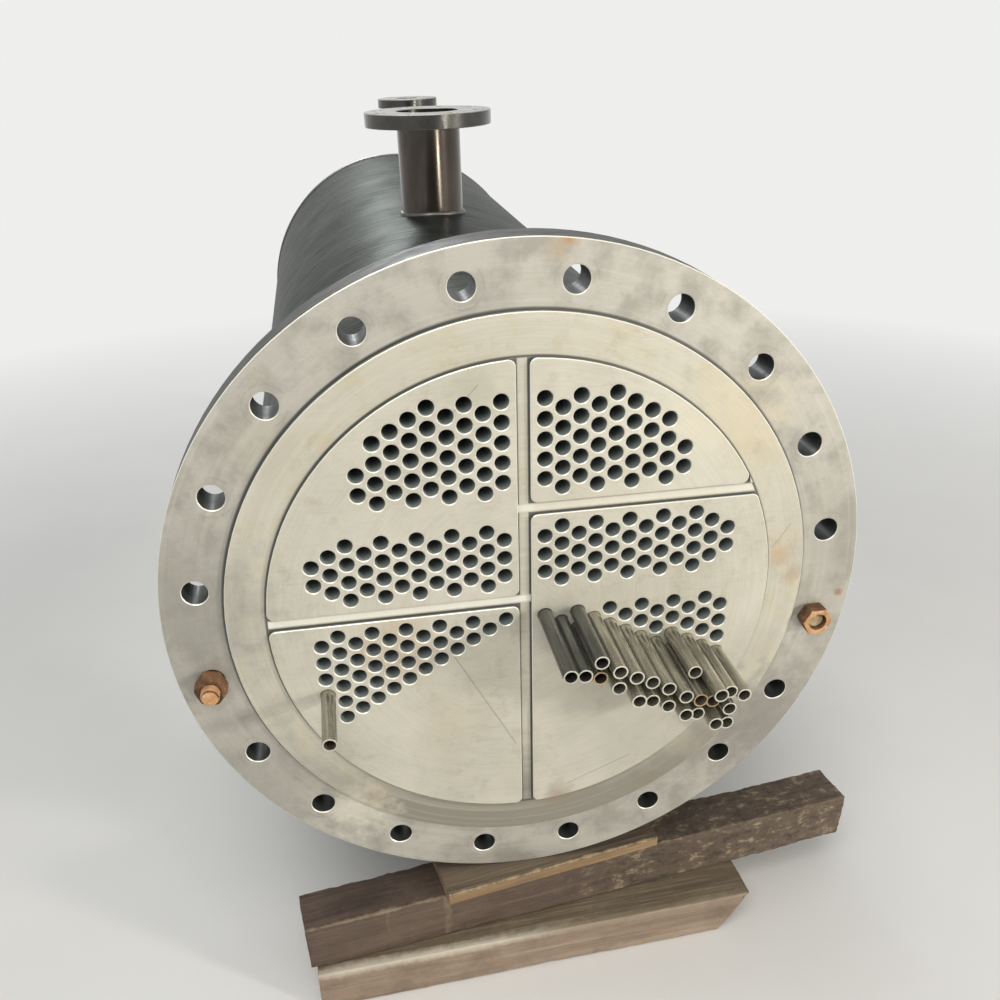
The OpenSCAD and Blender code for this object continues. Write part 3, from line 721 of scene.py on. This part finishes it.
def makeNut(x, z, y, turn, name):
    # hexagon cut back at its corners by a cone on each side
    across = fixingLook["flats"] / 2 / math.cos(math.pi / 6)
    height = fixingLook["nutHeight"]
    clearSelection()
    bpy.ops.mesh.primitive_cylinder_add(vertices=6, radius=across, depth=height, rotation=(0, 0, math.radians(turn)))
    nut = settle(bpy.context.object, name)
    bpy.ops.object.select_all(action="DESELECT")
    bpy.ops.mesh.primitive_cylinder_add(vertices=64, radius=across * fixingLook["domeReach"], depth=height)
    dome = bpy.context.object
    addModifier(dome, "BEVEL", width=across * fixingLook["domeCut"], segments=1, offset_type="WIDTH",
                limit_method="ANGLE", angle_limit=math.radians(50))
    addModifier(nut, "BOOLEAN", object=dome, operation="INTERSECT", solver="EXACT")
    bpy.data.objects.remove(dome)
    clearSelection()
    bpy.ops.mesh.primitive_cylinder_add(vertices=32, radius=fixingLook["studRadius"] + fixingLook["boreGap"],
                                        depth=height * 2)
    bore = bpy.context.object
    addModifier(nut, "BOOLEAN", object=bore, operation="DIFFERENCE", solver="EXACT")
    bpy.data.objects.remove(bore)
    nut.rotation_euler = (math.pi / 2, 0, 0)
    nut.location = (x, y, z)
    nut = settle(nut, name)
    addModifier(nut, "BEVEL", width=fixingLook["nutBevel"], segments=2, limit_method="ANGLE",
                angle_limit=math.radians(25))
    smoothByAngle(nut, 35)
    return nut


for side in ("left", "right"):
    values = fixingLook[side]
    x, z = boltPlace(values["hole"])
    x, z = x + values["shift"][0], z + values["shift"][1]
    stud = makeStud(x, z, values["proud"], side + "Stud")
    paintFaces(stud, lambda centre, normal: 1 if normal.y < -0.6 else 0)
    finished(stud, "rusty_steel", [shadedSideRust, faceRust if side == "left" else caveRust], side + "_stud")
    half = fixingLook["nutHeight"] / 2
    pair = [makeNut(x, z, -half, values["turn"], side + "Nuts"),
            makeNut(x, z, fixingLook["sheet"] + half, values["turn"], side + "BackNut")]
    nuts = joined(pair, side + "Nuts")
    paintFaces(nuts, lambda centre, normal: 1 if abs(normal.y) > 0.35 else 0)
    finished(nuts, "rusty_steel", [shadedSideRust, shadyRust if side == "left" else faceRust], side + "_nuts")
print("studs and nuts made")

# timbers: sawn blocks with chipped edges and a surface that wavers
timberPlaces = {
    "frontSleeper": ("front_sleeper", "sleeper", (0.693, 0.15, 0.075), (-0.333, -0.069, 0.0), 2.9),
    "frontBeam": ("front_beam", "beam", (0.905, 0.078, 0.085), (-0.342, -0.059, 0.075), 7.7),
    "frontBoard": ("front_board", "board", (0.345, 0.15, 0.02), (-0.127, -0.049, 0.16), 10.0),
    "rearSleeper": ("rear_sleeper", "sleeper", (0.693, 0.075, 0.15), (-0.3465, 1.8725, 0.0), 0.0),
    "rearBeam": ("rear_beam", "beam", (0.905, 0.078, 0.085), (-0.4525, 1.871, 0.15), 0.0),
    "rearBoard": ("rear_board", "board", (0.345, 0.15, 0.0445), (-0.1725, 1.835, 0.235), 0.0),
}
timberSlots = {"sleeper": "pale_timber", "beam": "dark_timber", "board": "board_timber"}
wearLook = {"cell": {"sleeper": 0.010, "beam": 0.007, "board": 0.009},
            "edge": {"sleeper": 0.0035, "beam": 0.003, "board": 0.0015},
            "warp": {"sleeper": 0.004, "beam": 0.005, "board": 0.0015},
            "chip": {"sleeper": 0.0025, "beam": 0.004, "board": 0.0012},
            "undercut": 0.049, "crustFrom": 0.55, "edgeReach": 0.012, "flatShare": 0.35, "level": 0.8}
warpCloud = bpy.data.textures.new("warp", "CLOUDS")
warpCloud.noise_scale = 0.09
chipCloud = bpy.data.textures.new("chips", "CLOUDS")
chipCloud.noise_scale = 0.011
chipCloud.noise_depth = 4


def cutOff(block, point, normal):
    activate(block)
    bpy.ops.object.mode_set(mode="EDIT")
    bpy.ops.mesh.select_all(action="SELECT")
    bpy.ops.mesh.bisect(plane_co=point, plane_no=normal, clear_outer=True, use_fill=True)
    bpy.ops.object.mode_set(mode="OBJECT")


def makeTimber(name, node, kind, size, corner, turn):
    clearSelection()
    bpy.ops.mesh.primitive_cube_add(size=1, location=(size[0] / 2, size[1] / 2, size[2] / 2))
    block = bpy.context.object
    block.scale = size
    block = settle(block, name)
    undercut = wearLook["undercut"]
    if name == "frontSleeper":
        cutOff(block, (size[0] - undercut, 0, 0), (size[2], 0, -undercut))
    if name == "rearSleeper":
        cutOff(block, (size[0], 0, 0), (size[1], undercut, 0))
    addModifier(block, "BEVEL", width=wearLook["edge"][kind], segments=2, profile=0.6, limit_method="ANGLE",
                angle_limit=math.radians(30))
    # cuts across the grain, then along it, give the wear something to work on
    bpy.ops.object.mode_set(mode="EDIT")
    for axis in range(3):
        normal = [0, 0, 0]
        normal[axis] = 1
        count = max(3, round(size[axis] / wearLook["cell"][kind]))
        for index in range(1, count):
            point = [0, 0, 0]
            point[axis] = size[axis] * index / count
            bpy.ops.mesh.select_all(action="SELECT")
            bpy.ops.mesh.bisect(plane_co=point, plane_no=normal)
    bpy.ops.object.mode_set(mode="OBJECT")
    group = block.vertex_groups.new(name="chipped")
    for vertex in block.data.vertices:
        # edges chip most, and the crusted end of a beam is rough all over
        near = sorted(min(vertex.co[axis], size[axis] - vertex.co[axis]) for axis in range(3))
        weight = 1.0 if near[1] < wearLook["edgeReach"] else wearLook["flatShare"]
        if kind == "beam" and vertex.co.x > wearLook["crustFrom"]:
            weight = 1.0
        group.add([vertex.index], weight, "REPLACE")
    block.rotation_euler = (0, 0, math.radians(turn))
    block.location = corner
    block = settle(block, name)
    addModifier(block, "DISPLACE", texture=warpCloud, texture_coords="LOCAL", strength=wearLook["warp"][kind],
                mid_level=wearLook["level"])
    addModifier(block, "DISPLACE", texture=chipCloud, texture_coords="LOCAL", strength=wearLook["chip"][kind],
                mid_level=wearLook["level"], vertex_group="chipped")
    smoothByAngle(block, 38)
    wood = sawnTimber(name + " wood", timberLook[kind], corner, turn, size[2])
    finished(block, timberSlots[kind], [wood], node)


for name, (node, kind, size, corner, turn) in timberPlaces.items():
    makeTimber(name, node, kind, size, corner, turn)
print("timbers made")

# weld beads: one round each end of the shell, and one round the foot and top of each neck
weldLook = {"ends": ((0.05, 0.006), (1.885, 0.0035)), "topShare": 0.8}


def makeRingBead(name, centre, radius, tube, turn):
    clearSelection()
    bpy.ops.mesh.primitive_torus_add(major_radius=radius, minor_radius=tube, major_segments=240, minor_segments=10,
                                     location=centre, rotation=turn)
    bead = settle(bpy.context.object, name)
    smoothByAngle(bead, 60)
    return bead


beads = [makeRingBead("bead", (0, y, axisHeight), shellRadius, size, (math.pi / 2, 0, 0))
         for y, size in weldLook["ends"]]
finished(joined(beads, "shellWelds"), "shell_steel", [weldSteel])


def makeSaddleBead(name, y, neckRadius, up, tube):
    # the foot bead follows the shell's curve round the neck
    bead = makeRingBead(name, (0, y, 0), neckRadius, tube, (0, 0, 0))
    for vertex in bead.data.vertices:
        vertex.co.z = axisHeight + up * (math.sqrt(shellRadius ** 2 - vertex.co.x ** 2) + vertex.co.z)
    outward(bead)
    return bead


# place along the axis, radius of the neck, way it points, back of its flange, size of its beads
nozzleLook = {"inlet": (0.885, 0.05715, 1, 1.136, 0.0055), "outlet": (1.56, 0.05715, -1, 0.134, 0.0055),
              "vent": (1.296, 0.02415, 1, 1.1425, 0.0035)}
for key, (y, radius, up, flangeBack, size) in nozzleLook.items():
    beads = [makeSaddleBead("bead", y, radius, up, size),
             makeRingBead("bead", (0, y, flangeBack), radius, size * weldLook["topShare"], (0, 0, 0))]
    finished(joined(beads, key + "Welds"), "pipe_steel", [weldSteel])
print("welds made")

# nodes whose own shape is right keep it and get their finish
nodeFinish = {
    "shell_top": shellSteel, "shell_right": shellSteel, "shell_bottom": shellSteel, "shell_left": shellSteel,
    "inlet_neck": pipeSteel, "outlet_neck": pipeSteel, "vent_neck": pipeSteel, "tie_rods": dullSteel,
    **{"baffle_%d" % number: dullSteel for number in range(1, 6)},
}
for node, material in nodeFinish.items():
    nodes[node].data.materials.clear()
    nodes[node].data.materials.append(material)
print("nodes finished")

# floor, lamps and camera
stageLook = {"floor": (0.80, 0.79, 0.77), "speckle": (0.77, 0.76, 0.74), "floorSize": 60, "sky": (0.86, 0.87, 0.88),
             "skyLight": 0.27, "backdrop": (0.86, 0.86, 0.85), "fadeFrom": 1.3, "fadeTo": 3.6}


def lookedAt(tree):
    # 1 for rays that the eye or a mirror sends, 0 for those that carry light
    path = add(tree, "LightPath").outputs
    mirrored = maths(tree, "MAXIMUM", path["Is Camera Ray"], path["Is Glossy Ray"])
    return maths(tree, "MAXIMUM", mirrored, path["Is Transmission Ray"])


clearSelection()
bpy.ops.mesh.primitive_plane_add(size=stageLook["floorSize"], location=(0, 4, 0))
floor = settle(bpy.context.object, "floor")
floorFinish, tree, shader = startMaterial("pale floor", 0.0, 0.8)
speckle = noise(tree, place(tree), 3.0, 4.0)
tree.links.new(blend(tree, ramp(tree, speckle, 0.3, 0.7), stageLook["floor"], stageLook["speckle"]),
               shader.inputs["Base Color"])
seen = lookedAt(tree)
away = add(tree, "VectorMath", {0: place(tree, shift=(0, -0.8, 0))}, operation="LENGTH").outputs["Value"]
plain = add(tree, "Emission", {"Color": (*stageLook["backdrop"], 1), "Strength": 1.0})
fade = times(tree, seen, ramp(tree, away, stageLook["fadeFrom"], stageLook["fadeTo"]))
faded = add(tree, "MixShader", {0: fade, 1: shader.outputs[0], 2: plain.outputs[0]})
tree.links.new(faded.outputs[0], tree.nodes["Material Output"].inputs["Surface"])
floor.data.materials.append(floorFinish)

world = bpy.data.worlds.new("studio")
scene.world = world
world.use_nodes = True
tree = world.node_tree
background = tree.nodes["Background"]
background.inputs["Color"].default_value = (*stageLook["sky"], 1)
background.inputs["Strength"].default_value = stageLook["skyLight"]
shown = add(tree, "Background", {"Color": (*stageLook["backdrop"], 1), "Strength": 1.0})
seen = lookedAt(tree)
mixer = add(tree, "MixShader", {0: seen, 1: background.outputs[0], 2: shown.outputs[0]})
tree.links.new(mixer.outputs[0], tree.nodes["World Output"].inputs["Surface"])

lampLook = {
    "key": {"place": (5.1, -3.76, 1.80), "target": (0.0, 0.0, 0.65), "size": 0.6, "power": 195,
            "colour": (1.0, 0.96, 0.88)},
    "sky": {"place": (-0.6, 0.6, 4.2), "target": (0.0, 0.7, 0.6), "size": 2.6, "power": 34,
            "colour": (0.95, 0.98, 1.0)},
    "front": {"place": (-0.6, -1.6, 3.0), "target": (0.0, 0.0, 0.9), "size": 1.8, "power": 50,
              "colour": (1.0, 0.99, 0.94)},
    "glint": {"place": (1.95, -3.20, 0.56), "target": (0.0, 0.885, 1.05), "size": 0.5, "power": 28,
              "colour": (1.0, 0.93, 0.80)},
    "back": {"place": (-0.5, 4.8, 2.9), "target": (0.0, 0.9, 1.0), "size": 0.7, "power": 44,
             "colour": (0.95, 0.98, 1.0)},
}
for key, values in lampLook.items():
    lamp = bpy.data.lights.new(key, "AREA")
    lamp.size = values["size"]
    lamp.energy = values["power"]
    lamp.color = values["colour"]
    holder = bpy.data.objects.new(key, lamp)
    scene.collection.objects.link(holder)
    holder.location = values["place"]
    holder.visible_camera = False
    aim = Vector(values["target"]) - Vector(values["place"])
    holder.rotation_euler = aim.to_track_quat("-Z", "Y").to_euler()

cameraLook = {"place": (-0.2028, -1.0819, 1.2806), "lens": 35.32, "sensor": 36, "shiftX": 0.010, "shiftY": 0.100,
              "right": (0.98656, -0.16101, -0.02804), "up": (0.10478, 0.49149, 0.86455),
              "back": (-0.12542, -0.85587, 0.50176)}
camera = bpy.data.cameras.new("photo view")
camera.lens = cameraLook["lens"]
camera.sensor_width = cameraLook["sensor"]
camera.shift_x = cameraLook["shiftX"]
camera.shift_y = cameraLook["shiftY"]
cameraHolder = bpy.data.objects.new("photo view", camera)
scene.collection.objects.link(cameraHolder)
turned = Matrix((cameraLook["right"], cameraLook["up"], cameraLook["back"])).transposed().to_4x4()
cameraHolder.matrix_world = Matrix.Translation(cameraLook["place"]) @ turned
scene.camera = cameraHolder
print("stage, lamps and camera set")
